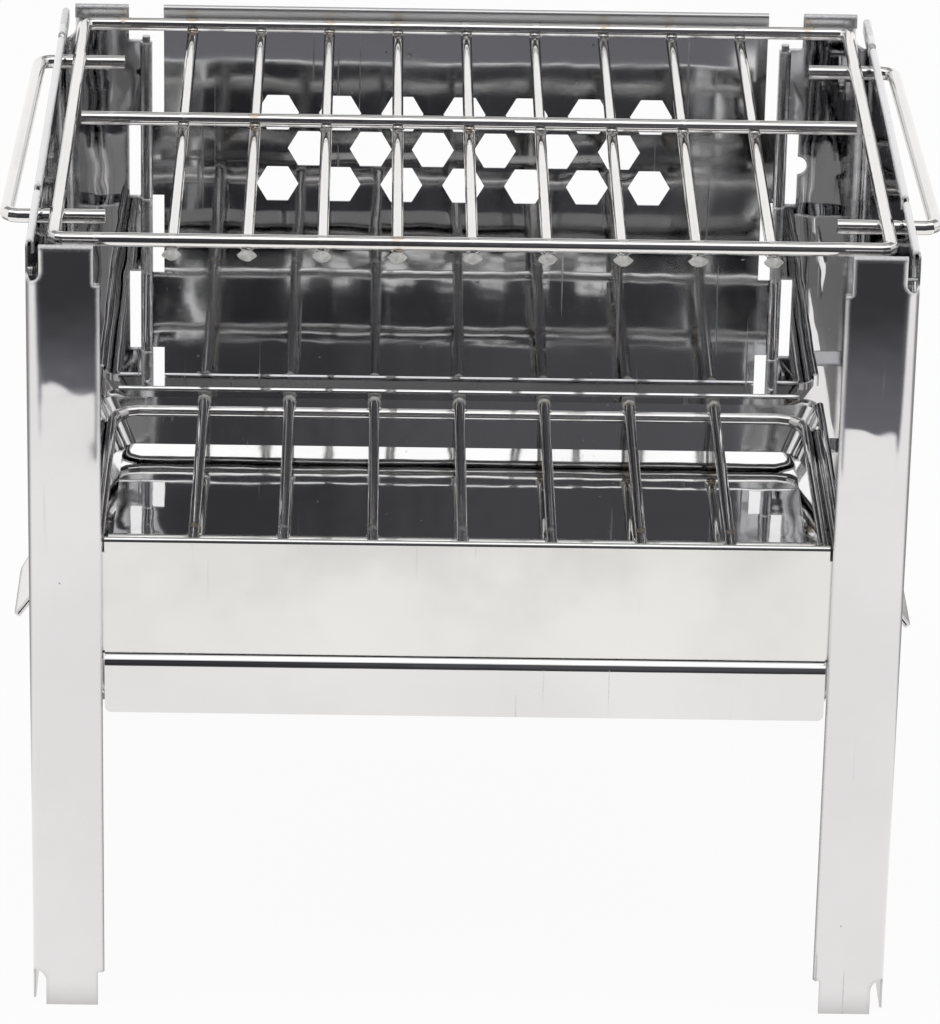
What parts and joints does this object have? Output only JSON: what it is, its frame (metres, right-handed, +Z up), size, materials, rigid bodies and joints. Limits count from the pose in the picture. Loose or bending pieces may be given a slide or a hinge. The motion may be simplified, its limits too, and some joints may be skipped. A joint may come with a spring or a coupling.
{
  "type": "portable folding grill",
  "caption": "Folding charcoal grill in polished stainless sheet: two hinged side panels with legs, perforated back, drop-in charcoal tray, wire grates and front panel.",
  "frame": {"origin": "on the ground under the centre of the grill", "axes": "+X to the right seen from the front, +Y to the hinged back panel, +Z up"},
  "size_m": [0.3238, 0.2482, 0.287],
  "materials": {
    "sheet": "mirror-polished stainless sheet with light scratches",
    "satin_sheet": "finely brushed stainless sheet",
    "tray": "mirror-polished pressed stainless sheet",
    "wire": "electropolished stainless wire with weld tint",
    "pin": "drawn steel pin"
  },
  "bodies": {
    "back": {"back_panel": "sheet", "left_hinge_pin": "pin", "right_hinge_pin": "pin"},
    "left_side": {"left_side_panel": "sheet"},
    "right_side": {"right_side_panel": "sheet"},
    "left_wire": {"left_support_wire": "wire"},
    "right_wire": {"right_support_wire": "wire"},
    "cooking_grate": {"cooking_grate_frame": "wire", "cooking_grate_crossbar": "wire", "cooking_grate_rod_1": "wire", "cooking_grate_rod_2": "wire", "cooking_grate_rod_3": "wire", "cooking_grate_rod_4": "wire", "cooking_grate_rod_5": "wire", "cooking_grate_rod_6": "wire", "cooking_grate_rod_7": "wire", "cooking_grate_rod_8": "wire", "cooking_grate_rod_9": "wire"},
    "tray": {"charcoal_tray": "tray"},
    "charcoal_grate": {"charcoal_grate_frame": "wire", "charcoal_grate_crossbar": "wire", "charcoal_grate_rod_1": "wire", "charcoal_grate_rod_2": "wire", "charcoal_grate_rod_3": "wire", "charcoal_grate_rod_4": "wire", "charcoal_grate_rod_5": "wire", "charcoal_grate_rod_6": "wire", "charcoal_grate_rod_7": "wire"},
    "front_wall": {"front_panel": "satin_sheet"}
  },
  "joints": [
    {"name": "left_side_hinge", "type": "hinge", "parent": "back", "child": "left_side", "pos_m": [-0.119, 0.12165, 0.1955], "axis": [0, 0, 1], "range_deg": [-90, 0]},
    {"name": "right_side_hinge", "type": "hinge", "parent": "back", "child": "right_side", "pos_m": [0.119, 0.12165, 0.1955], "axis": [0, 0, 1], "range_deg": [0, 90]},
    {"name": "left_wire_slide", "type": "slide", "parent": "left_side", "child": "left_wire", "axis": [-1, 0, 0], "range_m": [-0.003, 0.024]},
    {"name": "right_wire_slide", "type": "slide", "parent": "right_side", "child": "right_wire", "axis": [1, 0, 0], "range_m": [-0.003, 0.024]},
    {"name": "cooking_grate_lift", "type": "slide", "parent": "back", "child": "cooking_grate", "axis": [0, 0, 1], "range_m": [0, 0.12]},
    {"name": "tray_lift", "type": "slide", "parent": "back", "child": "tray", "axis": [0, 0, 1], "range_m": [0, 0.03]},
    {"name": "charcoal_grate_lift", "type": "slide", "parent": "tray", "child": "charcoal_grate", "axis": [0, 0, 1], "range_m": [0, 0.1]},
    {"name": "front_panel_lift", "type": "slide", "parent": "tray", "child": "front_wall", "axis": [0, 0, 1], "range_m": [0, 0.06]}
  ]
}
